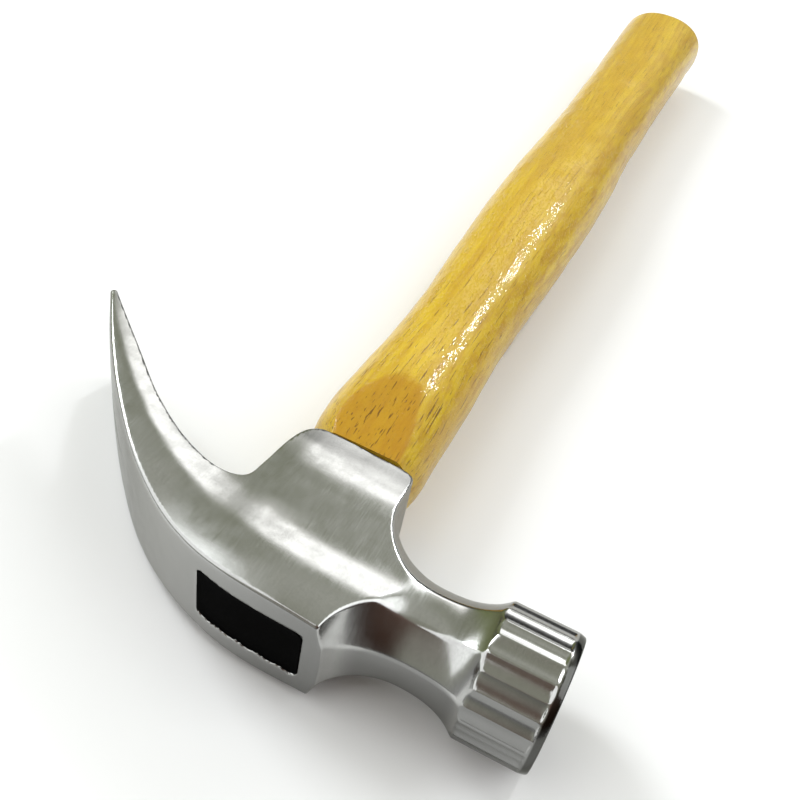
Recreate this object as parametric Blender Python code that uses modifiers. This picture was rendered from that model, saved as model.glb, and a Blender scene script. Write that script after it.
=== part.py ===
"""Curved claw hammer with a forged steel head and a wedged wooden handle.

The hammer lies on its side. +X runs along the handle to the butt, +Y points at the claw tips, -Y at
the striking face, and +Z comes out of the cheek. Shapes are drawn in a head frame, whose origin is
the middle of the eye at the top of the head, on the plane that halves the hammer. An empty carries
that frame, so that the finished object stands on Z = 0 under the centre of its box.
"""

import math

import bmesh
import bpy
from mathutils import Matrix

MM = 0.001
GAP = 0.3 * MM

# Whole object, measured from the eye centre in the head frame
BUTT_X = 315.0 * MM
CROWN_X = -1.265 * MM
FACE_Y = -58.3 * MM
CLAW_TIP_Y = 67.6 * MM
CLAW_HALF_WIDTH = 14.58 * MM

# Cutters reach this far past what they cut, and this far round the claws
CLEAR = 20.0 * MM
ROUND_CLAWS = 60.0 * MM

# Poll and neck, both round the axis X = POLL_X
POLL_X = 15.0 * MM
POLL_RADIUS = 14.0 * MM
POLL_BACK_Y = -37.0 * MM
FACE_BEVEL = (1.5 * MM, 0.5 * MM)
FLUTES = 24
FLUTE_PHASE = math.radians(4.7)
FLUTE_RADIUS = 10.0 * MM
FLUTE_DEPTH = 0.35 * MM
FLUTE_STEPS = 6
NECK_SIDES = 8
NECK_WAIST_Y = -30.5 * MM
NECK_APOTHEM = 9.8 * MM
# Flares of the neck from its waist: length, rise at the end, power of the superellipse
NECK_TO_BODY = (15.8 * MM, 12.0 * MM, 2.0)
NECK_TO_POLL = (15.0 * MM, 10.0 * MM, 2.4)
FLARE_SHARES = (0.14, 0.28, 0.42, 0.55, 0.67, 0.78, 0.87, 0.94, 0.985, 1.0)

# Eye, skirt and what is wedged in the eye
EYE_DEPTH = 43.8 * MM
EYE_TOP_Y = -0.45 * MM
EYE_TOP = (24.1 * MM, 14.6 * MM)
EYE_FOOT = (20.2 * MM, 16.6 * MM)
EYE_FOOT_Y = -2.1 * MM
EYE_CORNER = 1.4 * MM
TOP_SLOPE = math.atan(0.1)
SEAL_TOP_X = 0.45 * MM
SEAL_THICKNESS = 0.8 * MM
TANG_TOP_X = SEAL_TOP_X + SEAL_THICKNESS + GAP
KERF_DEPTH = 26.0 * MM
WOOD_WEDGE = (3.4 * MM, 1.0 * MM, 21.0 * MM)
STEEL_WEDGE = (2.2 * MM, 0.5 * MM, 11.0 * MM)
STEEL_WEDGE_DEPTH = 12.0 * MM
STEEL_WEDGE_Y = 5.4 * MM

# Claw slot: a V in the plane of the claws, square to their back
SLOT_VERTEX = (24.5 * MM, 46.5 * MM)
SLOT_TURN = math.radians(39.0)
SLOT_LENGTH = 40.0 * MM
SLOT_HALF_MOUTH = 7.0 * MM
SLOT_ROOT = 0.4 * MM

# Handle stations: distance from the eye, middle in Y, half depth in Y, half thickness in Z
HANDLE_STATIONS = (
    (44.1, -1.9, 11.9, 12.0),
    (48.0, -1.1, 13.4, 12.1),
    (56.0, -0.6, 13.9, 12.2),
    (64.0, -0.7, 13.8, 12.0),
    (74.0, -0.85, 13.6, 11.6),
    (86.0, -1.0, 13.1, 11.2),
    (98.0, -0.9, 12.85, 11.0),
    (110.0, -0.8, 13.05, 11.0),
    (122.0, -0.75, 13.6, 11.2),
    (135.0, -0.65, 14.2, 11.5),
    (150.0, -0.6, 14.7, 11.9),
    (165.0, -0.55, 15.0, 12.2),
    (180.0, -0.6, 14.95, 12.2),
    (193.0, -0.6, 14.7, 12.0),
    (206.0, -0.4, 14.2, 11.6),
    (220.0, -0.25, 13.85, 11.2),
    (235.0, -0.2, 13.9, 11.1),
    (252.0, 0.0, 13.95, 11.2),
    (268.0, 0.1, 14.2, 11.3),
    (284.0, 0.3, 14.7, 11.5),
    (300.0, 0.4, 15.0, 11.7),
    (309.0, 0.4, 15.2, 11.8),
)
HANDLE_SIDES = 40
HANDLE_POWER = 2.3
BUTT_ROUND = 3.5 * MM
FLAT_START = (44.0 * MM, 9.9 * MM)
FLAT_END = (66.0 * MM, 12.0 * MM)

# Side outline of the head: (x, y) in mm, and whether the outline turns smoothly there
SIDE_OUTLINE = (
    (-1.2, -70.0, "VECTOR"),
    (-1.2, -14.0, "AUTO"),
    (0.2, 5.7, "AUTO"),
    (4.2, 19.2, "AUTO"),
    (12.0, 32.6, "AUTO"),
    (23.3, 45.3, "AUTO"),
    (36.7, 57.4, "AUTO"),
    (50.3, 67.6, "VECTOR"),
    (51.3, 66.1, "VECTOR"),
    (49.6, 63.6, "AUTO"),
    (39.0, 51.1, "AUTO"),
    (29.7, 39.4, "AUTO"),
    (23.7, 28.2, "AUTO"),
    (21.7, 18.6, "AUTO"),
    (23.2, 14.3, "AUTO"),
    (28.0, 13.1, "AUTO"),
    (36.2, 12.0, "AUTO"),
    (41.8, 10.4, "AUTO"),
    (43.6, 7.4, "AUTO"),
    (43.7, 5.0, "VECTOR"),
    (43.3, -14.1, "VECTOR"),
    (38.0, -14.8, "AUTO"),
    (33.0, -15.8, "VECTOR"),
    (33.0, -70.0, "VECTOR"),
)

# Half width of the head, seen from the top: (y, half width) in mm, from the poll to the claw tips
HALF_WIDTHS = (
    (-70.0, 17.0),
    (-34.0, 17.0),
    (-27.0, 12.0),
    (-22.0, 11.9),
    (-14.0, 12.4),
    (-4.0, 13.2),
    (6.0, 12.9),
    (14.0, 12.2),
    (22.0, 12.2),
    (32.0, 13.3),
    (46.0, 14.2),
    (58.0, 14.5),
    (72.0, 14.6),
)
# The cheek draws in from its widest line to the skirt: (x, half width) in mm, as far as this Y
CHEEK_TAPER = ((14.0, 13.4), (27.0, 12.1), (45.0, 10.6))
CHEEK_TAPER_END_Y = 20.0 * MM


def clear_scene():
    for item in list(bpy.data.objects):
        bpy.data.objects.remove(item)


def collection(name, hidden=False):
    made = bpy.data.collections.new(name)
    bpy.context.scene.collection.children.link(made)
    made.hide_render = hidden
    return made


def material(name, colour, roughness, metallic=0.0):
    made = bpy.data.materials.new(name)
    made.use_nodes = True
    shader = made.node_tree.nodes["Principled BSDF"]
    shader.inputs["Base Color"].default_value = (*colour, 1.0)
    shader.inputs["Roughness"].default_value = roughness
    shader.inputs["Metallic"].default_value = metallic
    made.diffuse_color = (*colour, 1.0)
    return made


def to_object(name, mesh, place, frame):
    made = bpy.data.objects.new(name, mesh)
    place.objects.link(made)
    made.parent = frame
    return made


def finish_bmesh(bm, name):
    bmesh.ops.recalc_face_normals(bm, faces=bm.faces)
    mesh = bpy.data.meshes.new(name)
    bm.to_mesh(mesh)
    bm.free()
    return mesh


def shade_smooth(item, angle=math.radians(35)):
    item.data.shade_smooth()
    item.data.set_sharp_from_angle(angle=angle)


def curve_to_mesh(curve, place, frame):
    """The extruded curve as a closed mesh, with its caps welded on, so that a Boolean can use it."""
    name = curve.name
    guide = to_object(name + "_curve", curve, place, None)
    bpy.context.view_layer.update()
    graph = bpy.context.evaluated_depsgraph_get()
    mesh = bpy.data.meshes.new_from_object(guide.evaluated_get(graph))
    bpy.data.objects.remove(guide)
    bm = bmesh.new()
    bm.from_mesh(mesh)
    bmesh.ops.remove_doubles(bm, verts=bm.verts, dist=1e-6)
    return to_object(name, finish_bmesh(bm, name), place, frame)


def flat_outline(name, points, half_depth, resolution, place, frame, turn=(0, 0, 0)):
    """A closed 2D curve through (x, y, handle type), extruded both ways and turned into a mesh."""
    curve = bpy.data.curves.new(name, "CURVE")
    curve.dimensions = "2D"
    curve.fill_mode = "BOTH"
    curve.resolution_u = resolution
    curve.extrude = half_depth
    spline = curve.splines.new("BEZIER")
    spline.bezier_points.add(len(points) - 1)
    spline.use_cyclic_u = True
    for point, (x, y, handle) in zip(spline.bezier_points, points):
        point.co = (x * MM, y * MM, 0)
        point.handle_left_type = point.handle_right_type = handle
    made = curve_to_mesh(curve, place, frame)
    made.rotation_euler = turn
    return made


def turned(name, profile, steps, phase, place, frame):
    """A solid of revolution round the poll's axis. The profile is (y, radius) from the claw side to the face."""
    bm = bmesh.new()
    verts = [bm.verts.new((radius, 0, -y)) for y, radius in reversed(profile)]
    for one, other in zip(verts, verts[1:]):
        bm.edges.new((one, other))
    mesh = bpy.data.meshes.new(name)
    bm.to_mesh(mesh)
    bm.free()
    made = to_object(name, mesh, place, frame)
    made.location = (POLL_X, 0, 0)
    made.rotation_euler = Matrix.Rotation(math.pi / 2, 3, "X").to_euler()
    made.data.transform(Matrix.Rotation(phase, 4, "Z"))
    screw = made.modifiers.new("turn", "SCREW")
    screw.steps = screw.render_steps = steps
    screw.use_merge_vertices = True
    screw.merge_threshold = 1e-5
    return made


def cutter(made):
    made.hide_render = True
    made.display_type = "WIRE"
    return made


def block(name, top, foot, length, corner, place, frame):
    """A tapered block along X from 0 to length: top and foot are (middle in Y, size in Y, size in Z)."""
    bm = bmesh.new()
    bmesh.ops.create_cube(bm, size=1.0, matrix=Matrix.Diagonal((length, top[1], top[2], 1)))
    if corner:
        long_edges = [e for e in bm.edges if abs((e.verts[0].co - e.verts[1].co).x) > length / 2]
        bmesh.ops.bevel(bm, geom=long_edges, offset=corner, segments=4, profile=0.5, affect="EDGES")
    for vert in bm.verts:
        at_foot = vert.co.x > 0
        vert.co.x += length / 2
        vert.co.y *= foot[1] / top[1] if at_foot else 1
        vert.co.z *= foot[2] / top[2] if at_foot else 1
        vert.co.y += foot[0] if at_foot else top[0]
    return to_object(name, finish_bmesh(bm, name), place, frame)


def boolean(item, operation, other):
    modifier = item.modifiers.new(other.name, "BOOLEAN")
    modifier.operation = operation
    modifier.object = other
    modifier.solver = "EXACT"


def neck_side(direction, flare):
    """(y, radius at the octagon's corners) from the neck's waist along one superellipse flare."""
    length, rise, power = flare
    to_corner = 1 / math.cos(math.pi / NECK_SIDES)
    side = []
    for share in FLARE_SHARES:
        apothem = NECK_APOTHEM + rise * (1 - (1 - share**power) ** (1 / power))
        side.append((NECK_WAIST_Y + direction * share * length, apothem * to_corner))
    return side


def neck_profile():
    """(y, radius at the octagon's corners) from beyond the claws to beyond the face."""
    to_body = neck_side(1, NECK_TO_BODY)
    to_poll = neck_side(-1, NECK_TO_POLL)
    waist = (NECK_WAIST_Y, NECK_APOTHEM / math.cos(math.pi / NECK_SIDES))
    start_y, end_y = CLAW_TIP_Y + CLEAR, FACE_Y - CLEAR
    beyond_claws = [(start_y, 0.0), (start_y, ROUND_CLAWS), (to_body[-1][0], ROUND_CLAWS)]
    beyond_face = [(end_y, to_poll[-1][1]), (end_y, 0.0)]
    return beyond_claws + to_body[::-1] + [waist] + to_poll + beyond_face


def poll_profile():
    """(y, radius) of the round poll, standing clear of the neck and the body."""
    start_y = CLAW_TIP_Y + 1.5 * CLEAR
    length, drop = FACE_BEVEL
    return [
        (start_y, 0.0),
        (start_y, 1.5 * ROUND_CLAWS),
        (POLL_BACK_Y, 1.5 * ROUND_CLAWS),
        (POLL_BACK_Y, POLL_RADIUS),
        (FACE_Y + length, POLL_RADIUS),
        (FACE_Y, POLL_RADIUS - drop),
        (FACE_Y, 0.0),
    ]


def flute_ring(place, frame):
    """A ring round the poll whose inside follows the fluted outline, so cutting it leaves the flutes."""
    curve = bpy.data.curves.new("flute_ring", "CURVE")
    curve.dimensions = "2D"
    curve.fill_mode = "BOTH"
    start_y = FACE_Y + FACE_BEVEL[0]
    curve.extrude = (POLL_BACK_Y - start_y) / 2
    total = FLUTES * FLUTE_STEPS
    bar = POLL_RADIUS + FLUTE_RADIUS - FLUTE_DEPTH
    for inner in (True, False):
        spline = curve.splines.new("POLY")
        spline.points.add(total - 1)
        spline.use_cyclic_u = True
        for index, point in enumerate(spline.points):
            angle = FLUTE_PHASE + 2 * math.pi * index / total
            off = (index % FLUTE_STEPS / FLUTE_STEPS - 0.5) * 2 * math.pi / FLUTES
            fluted = bar * math.cos(off) - math.sqrt(FLUTE_RADIUS**2 - (bar * math.sin(off)) ** 2)
            radius = fluted if inner else POLL_RADIUS + CLEAR
            point.co = (radius * math.cos(angle), radius * math.sin(angle), 0, 1)
    made = curve_to_mesh(curve, place, frame)
    made.location = (POLL_X, (start_y + POLL_BACK_Y) / 2, 0)
    made.rotation_euler = (math.pi / 2, 0, 0)
    return made


def box_between(name, first, second, first_x, second_x, corner, place, frame):
    """A tapered block from first_x to second_x, whose ends are (middle in Y, size in Y, size in Z)."""
    made = block(name, first, second, second_x - first_x, corner, place, frame)
    made.location.x = first_x
    return made


def along(start, end, share):
    return tuple(a + (b - a) * share for a, b in zip(start, end))


def eye_section(x, gap):
    """(middle, size in Y, size in Z) of the eye at depth x, drawn in by a gap on every side."""
    middle, size_y, size_z = along((EYE_TOP_Y, *EYE_TOP), (EYE_FOOT_Y, *EYE_FOOT), x / EYE_DEPTH)
    return middle, size_y - 2 * gap, size_z - 2 * gap


def wood_wedge_section(x, gap):
    thick, thin, depth = WOOD_WEDGE
    middle, size_y, _ = eye_section(x, 2.5 * GAP)
    return middle, size_y, thick + (thin - thick) * x / depth + 2 * gap


def steel_wedge_section(x, y, gap):
    thick, thin, width = STEEL_WEDGE
    return y, thick + (thin - thick) * x / STEEL_WEDGE_DEPTH + 2 * gap, width + 2 * gap


def cheek_taper(side, cutters, frame):
    """What lies outside the lower cheek on one side."""
    (first_x, _), (last_x, _) = CHEEK_TAPER[0], CHEEK_TAPER[-1]
    far = side * CLEAR / MM
    points = [(x, side * half_width, "VECTOR") for x, half_width in CHEEK_TAPER]
    points += [(last_x, far, "VECTOR"), (first_x, far, "VECTOR")]
    turn = (math.pi / 2, 0, 0)
    taper = flat_outline(f"cheek_taper_{side}", points, CLEAR, 1, cutters, frame, turn)
    taper.location.y = CHEEK_TAPER_END_Y - CLEAR
    return taper


def claw_slot(cutters, frame):
    mouth, root = SLOT_HALF_MOUTH, SLOT_ROOT
    corners = [(0, -root), (0, root), (SLOT_LENGTH, mouth), (SLOT_LENGTH, -mouth)]
    points = [(u / MM, v / MM, "VECTOR") for u, v in corners]
    turn = (math.pi / 2, 0, SLOT_TURN)
    slot = flat_outline("claw_slot", points, CLEAR, 1, cutters, frame, turn)
    slot.location = (*SLOT_VERTEX, 0)
    return slot


def plan_outline():
    """The head's outline seen from the top, as (y, z, handle type), with square ends."""
    side = [(y, half_width, "AUTO") for y, half_width in HALF_WIDTHS]
    side[0], side[-1] = [(y, half_width, "VECTOR") for y, half_width, _ in (side[0], side[-1])]
    return side + [(y, -half_width, handle) for y, half_width, handle in reversed(side)]


def make_head(place, cutters, frame):
    head = flat_outline("head", SIDE_OUTLINE, CLEAR, 6, place, frame)
    turn = (math.pi / 2, 0, math.pi / 2)
    plan = flat_outline("plan", plan_outline(), ROUND_CLAWS, 4, cutters, frame, turn)
    boolean(head, "INTERSECT", cutter(plan))
    neck = turned("neck", neck_profile(), NECK_SIDES, math.pi / NECK_SIDES, cutters, frame)
    boolean(head, "INTERSECT", cutter(neck))
    poll = turned("poll", poll_profile(), FLUTES * FLUTE_STEPS, 0.0, cutters, frame)
    boolean(head, "INTERSECT", cutter(poll))
    boolean(head, "DIFFERENCE", cutter(flute_ring(cutters, frame)))
    for side in (1, -1):
        boolean(head, "DIFFERENCE", cutter(cheek_taper(side, cutters, frame)))

    above, below = -CLEAR, EYE_DEPTH + CLEAR
    ends = eye_section(above, 0), eye_section(below, 0)
    eye = box_between("eye", *ends, above, below, EYE_CORNER, cutters, frame)
    boolean(head, "DIFFERENCE", cutter(eye))
    boolean(head, "DIFFERENCE", cutter(claw_slot(cutters, frame)))
    return head


def ring_of_oval(bm, x, middle, half_y, half_z):
    """One station of the handle: a superellipse, a little squarer than an ellipse."""
    verts = []
    for index in range(HANDLE_SIDES):
        angle = 2 * math.pi * index / HANDLE_SIDES
        across, up = math.cos(angle), math.sin(angle)
        y = middle + half_y * math.copysign(abs(across) ** (2 / HANDLE_POWER), across)
        z = half_z * math.copysign(abs(up) ** (2 / HANDLE_POWER), up)
        verts.append(bm.verts.new((x, y, z)))
    return verts


def handle_loft(place, frame):
    """The grip, lofted through its stations, with a rounded edge at the butt."""
    bm = bmesh.new()
    stations = [tuple(value * MM for value in station) for station in HANDLE_STATIONS]
    _, middle, half_y, half_z = stations[-1]
    round_start = BUTT_X - BUTT_ROUND
    for step in range(5):
        angle = math.pi / 2 * step / 4
        inset = BUTT_ROUND * (1 - math.cos(angle))
        x = round_start + BUTT_ROUND * math.sin(angle)
        stations.append((x, middle, half_y - inset, half_z - inset))
    rings = [ring_of_oval(bm, *station) for station in stations]
    for one, other in zip(rings, rings[1:]):
        for index in range(HANDLE_SIDES):
            following = (index + 1) % HANDLE_SIDES
            bm.faces.new((one[index], one[following], other[following], other[index]))
    bm.faces.new(rings[0])
    bm.faces.new(rings[-1])
    return to_object("handle", finish_bmesh(bm, "handle"), place, frame)


def top_trim(place, frame):
    """Everything above the tang's sloping end, in the line of the head's top."""
    size = ROUND_CLAWS
    bm = bmesh.new()
    bmesh.ops.create_cube(bm, size=size, matrix=Matrix.Translation((-size / 2, 0, 0)))
    trim = to_object("top_trim", finish_bmesh(bm, "top_trim"), place, frame)
    trim.location.x = TANG_TOP_X
    trim.rotation_euler.z = -TOP_SLOPE
    return cutter(trim)


def grip_flat(side, cutters, frame):
    """What the flat below the skirt takes off the grip on one side."""
    (first_x, first_z), (last_x, last_z) = FLAT_START, FLAT_END
    slope = (last_z - first_z) / (last_x - first_x)
    ends = EYE_DEPTH + GAP / 2, last_x + CLEAR
    line = [(x, first_z + slope * (x - first_x)) for x in ends]
    far = line[-1][1] + CLEAR
    corners = line + [(ends[1], far), (ends[0], far)]
    points = [(x / MM, side * z / MM, "VECTOR") for x, z in corners]
    return flat_outline(f"flat_{side}", points, CLEAR, 1, cutters, frame, (math.pi / 2, 0, 0))


def kerf(cutters, frame):
    """The sawn slot across the tang that the wooden wedge spreads."""
    def ends_at(x):
        return 0.0, ROUND_CLAWS, wood_wedge_section(x, GAP)[2]
    ends = ends_at(-CLEAR), ends_at(KERF_DEPTH)
    return box_between("kerf", *ends, -CLEAR, KERF_DEPTH, 0, cutters, frame)


def make_handle(place, cutters, frame, trim):
    handle = handle_loft(place, frame)
    start, end = -CLEAR, HANDLE_STATIONS[1][0] * MM
    ends = eye_section(start, GAP), eye_section(end, GAP)
    tang = box_between("tang", *ends, start, end, EYE_CORNER, cutters, frame)
    boolean(handle, "UNION", cutter(tang))
    for side in (1, -1):
        boolean(handle, "DIFFERENCE", cutter(grip_flat(side, cutters, frame)))
    boolean(handle, "DIFFERENCE", cutter(kerf(cutters, frame)))
    boolean(handle, "DIFFERENCE", trim)
    return handle


def make_wood_wedge(place, frame, trim):
    end = WOOD_WEDGE[2]
    ends = wood_wedge_section(0.0, 0), wood_wedge_section(end, 0)
    wedge = box_between("wood_wedge", *ends, 0.0, end, 0, place, frame)
    boolean(wedge, "DIFFERENCE", trim)
    return wedge


def make_steel_wedge(name, y, place, cutters, frame, trim, around):
    """A thin wedge across the wood wedge, and the slot it has pressed into the pieces around it."""
    ends = steel_wedge_section(0.0, y, 0), steel_wedge_section(STEEL_WEDGE_DEPTH, y, 0)
    wedge = box_between(name, *ends, 0.0, STEEL_WEDGE_DEPTH, 0, place, frame)
    boolean(wedge, "DIFFERENCE", trim)
    above, below = -CLEAR, STEEL_WEDGE_DEPTH + GAP
    ends = steel_wedge_section(above, y, GAP), steel_wedge_section(below, y, GAP)
    slot = cutter(box_between(name + "_slot", *ends, above, below, 0, cutters, frame))
    for piece in around:
        boolean(piece, "DIFFERENCE", slot)
    return wedge


def make_eye_seal(place, frame):
    section = eye_section(2 * MM, GAP)
    seal = block("eye_seal", section, section, SEAL_THICKNESS, EYE_CORNER, place, frame)
    seal.location.x = SEAL_TOP_X
    seal.rotation_euler.z = -TOP_SLOPE
    return seal


def main():
    clear_scene()
    pieces = collection("claw_hammer")
    cutters = collection("cutters", hidden=True)
    frame = bpy.data.objects.new("head_frame", None)
    pieces.objects.link(frame)
    frame.location = (-(CROWN_X + BUTT_X) / 2, -(FACE_Y + CLAW_TIP_Y) / 2, CLAW_HALF_WIDTH)

    trim = top_trim(cutters, frame)
    head = make_head(pieces, cutters, frame)
    handle = make_handle(pieces, cutters, frame, trim)
    wood_wedge = make_wood_wedge(pieces, frame, trim)
    around = (handle, wood_wedge)
    steel_wedges = [
        make_steel_wedge(name, y, pieces, cutters, frame, trim, around)
        for name, y in (("steel_wedge_poll", -STEEL_WEDGE_Y), ("steel_wedge_claw", STEEL_WEDGE_Y))
    ]
    seal = make_eye_seal(pieces, frame)

    steel = material("satin_steel", (0.56, 0.56, 0.55), 0.32, 1.0)
    wedge_steel = material("wedge_steel", (0.42, 0.42, 0.43), 0.45, 1.0)
    lacquered_wood = material("lacquered_wood", (0.72, 0.48, 0.11), 0.25)
    raw_wood = material("raw_wood", (0.62, 0.45, 0.26), 0.75)
    black_resin = material("black_resin", (0.01, 0.01, 0.01), 0.5)
    finishes = [(head, steel), (handle, lacquered_wood), (wood_wedge, raw_wood), (seal, black_resin)]
    finishes += [(wedge, wedge_steel) for wedge in steel_wedges]
    for piece, finish in finishes:
        piece.data.materials.clear()
        piece.data.materials.append(finish)
    shade_smooth(handle)
    shade_smooth(head)


main()
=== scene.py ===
"""Claw hammer: a ground and clear-coated steel head on a lacquered wooden handle.

Shapes are worked out in the head frame, in millimetres: the origin is the middle of the eye at the top
of the head, +X runs to the butt, +Y to the claw tips, -Y to the striking face and +Z out of the cheek.
"""

import math

import bpy
import numpy as np
from mathutils import Matrix, Vector


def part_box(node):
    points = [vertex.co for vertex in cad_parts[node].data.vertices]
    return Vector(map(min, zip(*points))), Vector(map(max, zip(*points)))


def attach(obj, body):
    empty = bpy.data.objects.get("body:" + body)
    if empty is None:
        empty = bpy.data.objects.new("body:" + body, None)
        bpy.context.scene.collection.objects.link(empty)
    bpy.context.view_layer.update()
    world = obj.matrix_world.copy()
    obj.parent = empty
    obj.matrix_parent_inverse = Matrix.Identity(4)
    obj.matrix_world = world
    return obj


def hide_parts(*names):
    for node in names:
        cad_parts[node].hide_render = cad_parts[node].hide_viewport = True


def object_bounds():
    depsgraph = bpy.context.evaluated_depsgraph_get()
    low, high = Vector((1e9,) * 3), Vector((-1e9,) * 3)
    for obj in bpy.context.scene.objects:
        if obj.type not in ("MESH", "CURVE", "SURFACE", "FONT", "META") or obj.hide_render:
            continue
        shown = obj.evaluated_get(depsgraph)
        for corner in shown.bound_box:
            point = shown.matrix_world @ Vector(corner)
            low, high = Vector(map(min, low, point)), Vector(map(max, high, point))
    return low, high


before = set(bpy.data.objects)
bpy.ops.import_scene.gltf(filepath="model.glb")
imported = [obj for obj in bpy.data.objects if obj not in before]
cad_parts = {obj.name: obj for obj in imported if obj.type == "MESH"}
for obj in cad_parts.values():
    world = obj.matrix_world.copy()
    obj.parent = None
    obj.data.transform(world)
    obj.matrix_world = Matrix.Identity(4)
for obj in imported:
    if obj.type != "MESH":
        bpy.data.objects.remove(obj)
cad_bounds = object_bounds()

MM = 0.001
CROWN_X = -1.265  # the head's lowest x, where the crown is highest
FACE_Y = -58.3
BUTT_X = 315.0
low, high = (Vector(corner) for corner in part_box("head"))
EYE = Vector((low.x - CROWN_X * MM, low.y - FACE_Y * MM, (low.z + high.z) / 2))
FLOOR_Z = cad_bounds[0][2]


# ---------------------------------------------------------------- curves and fields
def spline(points, per_span=12):
    """Points along a smooth curve through the given ones (centripetal Catmull-Rom)."""
    p = np.array(points, float)
    p = np.vstack([2 * p[0] - p[1], p, 2 * p[-1] - p[-2]])
    out = []
    for a, b, c, d in zip(p, p[1:], p[2:], p[3:]):
        t0, t1 = 0.0, np.linalg.norm(b - a) ** 0.5
        t2 = t1 + np.linalg.norm(c - b) ** 0.5
        t3 = t2 + np.linalg.norm(d - c) ** 0.5
        t = np.linspace(t1, t2, per_span, endpoint=False)[:, None]
        ab = (t1 - t) / (t1 - t0) * a + (t - t0) / (t1 - t0) * b
        bc = (t2 - t) / (t2 - t1) * b + (t - t1) / (t2 - t1) * c
        cd = (t3 - t) / (t3 - t2) * c + (t - t2) / (t3 - t2) * d
        abc = (t2 - t) / (t2 - t0) * ab + (t - t0) / (t2 - t0) * bc
        bcd = (t3 - t) / (t3 - t1) * bc + (t - t1) / (t3 - t1) * cd
        out.append((t2 - t) / (t2 - t1) * abc + (t - t1) / (t2 - t1) * bcd)
    out.append(p[-2:-1])
    return np.vstack(out)


def smooth_values(points, at):
    """A smooth function through (position, value, ...) rows, read at the given positions."""
    curve = spline(points, 24)
    return [np.interp(at, curve[:, 0], curve[:, k]) for k in range(1, curve.shape[1])]


class Field:
    """Signed distance from an open curve in a plane, positive on its left, read by cubic interpolation."""

    def __init__(self, curve, box, step=0.25):
        (self.a0, self.b0), (a1, b1) = box
        self.step = step
        a = np.arange(self.a0, a1 + step, step)
        b = np.arange(self.b0, b1 + step, step)
        grid_a, grid_b = np.meshgrid(a, b, indexing="ij")
        points = np.stack([grid_a.ravel(), grid_b.ravel()], 1)
        start, span = curve[:-1], np.diff(curve, axis=0)
        length2 = (span**2).sum(1)
        values = np.empty(len(points))
        for first in range(0, len(points), 8192):
            chunk = points[first : first + 8192]
            off = chunk[:, None] - start[None]
            share = (off * span).sum(2) / length2
            clipped = np.clip(share, 0, 1)
            clipped[:, 0] = np.minimum(share[:, 0], 1)
            clipped[:, -1] = np.maximum(share[:, -1], 0)
            away = off - clipped[..., None] * span
            distance2 = (away**2).sum(2)
            nearest = distance2.argmin(1)
            rows = np.arange(len(chunk))
            s, v = span[nearest], off[rows, nearest]
            side = np.sign(s[:, 0] * v[:, 1] - s[:, 1] * v[:, 0])
            values[first : first + 8192] = side * np.sqrt(distance2[rows, nearest])
        self.values = values.reshape(grid_a.shape)

    def __call__(self, a, b):
        a = (np.asarray(a, float) - self.a0) / self.step
        b = (np.asarray(b, float) - self.b0) / self.step
        a, b = np.broadcast_arrays(a, b)
        a = np.clip(a, 1, self.values.shape[0] - 2.001)
        b = np.clip(b, 1, self.values.shape[1] - 2.001)
        ia, ib = a.astype(int), b.astype(int)
        wa, wb = cubic_weights(a - ia), cubic_weights(b - ib)
        total = 0.0
        for i in range(4):
            row = 0.0
            for j in range(4):
                row = row + wb[j] * self.values[ia + i - 1, ib + j - 1]
            total = total + wa[i] * row
        return total


def cubic_weights(t):
    """B-spline weights: smooth enough that a mirror-like surface shows no grid."""
    return (
        (1 - t) ** 3 / 6,
        (3 * t**3 - 6 * t**2 + 4) / 6,
        (-3 * t**3 + 3 * t**2 + 3 * t + 1) / 6,
        t**3 / 6,
    )


def meet(a, b, radius):
    """Both fields hold, with a round edge of this radius where their surfaces meet at right angles."""
    inside = np.minimum(-radius, np.maximum(a, b))
    return inside + np.hypot(np.maximum(a + radius, 0), np.maximum(b + radius, 0))


def soft_max(a, b, width):
    """The larger of two fields, blended where they differ by less than the width."""
    gap = np.maximum(width - np.abs(a - b), 0) / width
    return np.maximum(a, b) + gap * gap * width / 4


def smoothstep(first, last, value):
    t = np.clip((value - first) / (last - first), 0, 1)
    return t * t * (3 - 2 * t)


def ramp_integral(value, stops):
    """Integral, from the first stop, of the piecewise-linear slope given as (position, slope)."""
    position = np.array([s[0] for s in stops], float)
    slope = np.array([s[1] for s in stops], float)
    fine = np.linspace(position[0], position[-1], 600)
    slopes = np.interp(fine, position, slope)
    total = np.concatenate([[0], np.cumsum((slopes[1:] + slopes[:-1]) / 2 * np.diff(fine))])
    beyond = np.maximum(value - position[-1], 0) * slope[-1]
    return np.interp(value, fine, total) + beyond


# ---------------------------------------------------------------- the head
BOX_XY = ((-8.0, -66.0), (60.0, 76.0))
TOP = [(-1.2, -90), (-1.2, -50), (-1.2, -30), (-1.0, -14), (0.2, 5.7), (4.2, 19.2), (12.0, 32.6)]
TOP += [(23.3, 45.3), (36.7, 57.4), (50.3, 67.6), (64.0, 77.0)]
UNDER = [(64, 80), (51.3, 66.1), (39.0, 51.1), (29.7, 39.4), (23.7, 28.2), (21.7, 18.6), (23.2, 14.3)]
UNDER += [(28.0, 13.1), (36.2, 12.0), (41.2, 10.7), (43.3, 8.4), (43.7, 5.0), (43.5, -4.0), (43.35, -12.4)]
UNDER += [(42.4, -14.0), (38.0, -14.8), (33.0, -15.8), (30.5, -18.0), (30.0, -24.0), (30.0, -90.0)]
RIDGE = [(12.0, -90), (12.0, -40), (12.2, -18), (12.0, -6.9), (12.7, 0.6), (14.6, 9.1), (16.7, 17.9)]
RIDGE += [(18.9, 24.6), (23.4, 33.7), (29.2, 41.9), (35.8, 50.0), (43.2, 58.0), (54.0, 69.0)]
CLAW_END = ((50.3, 67.6), (51.3, 66.1))
HALF_WIDTHS = [(-80, 17), (-50, 17), (-34, 14.5), (-27, 12.1), (-22, 11.95), (-14, 12.4), (-4, 13.1)]
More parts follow.
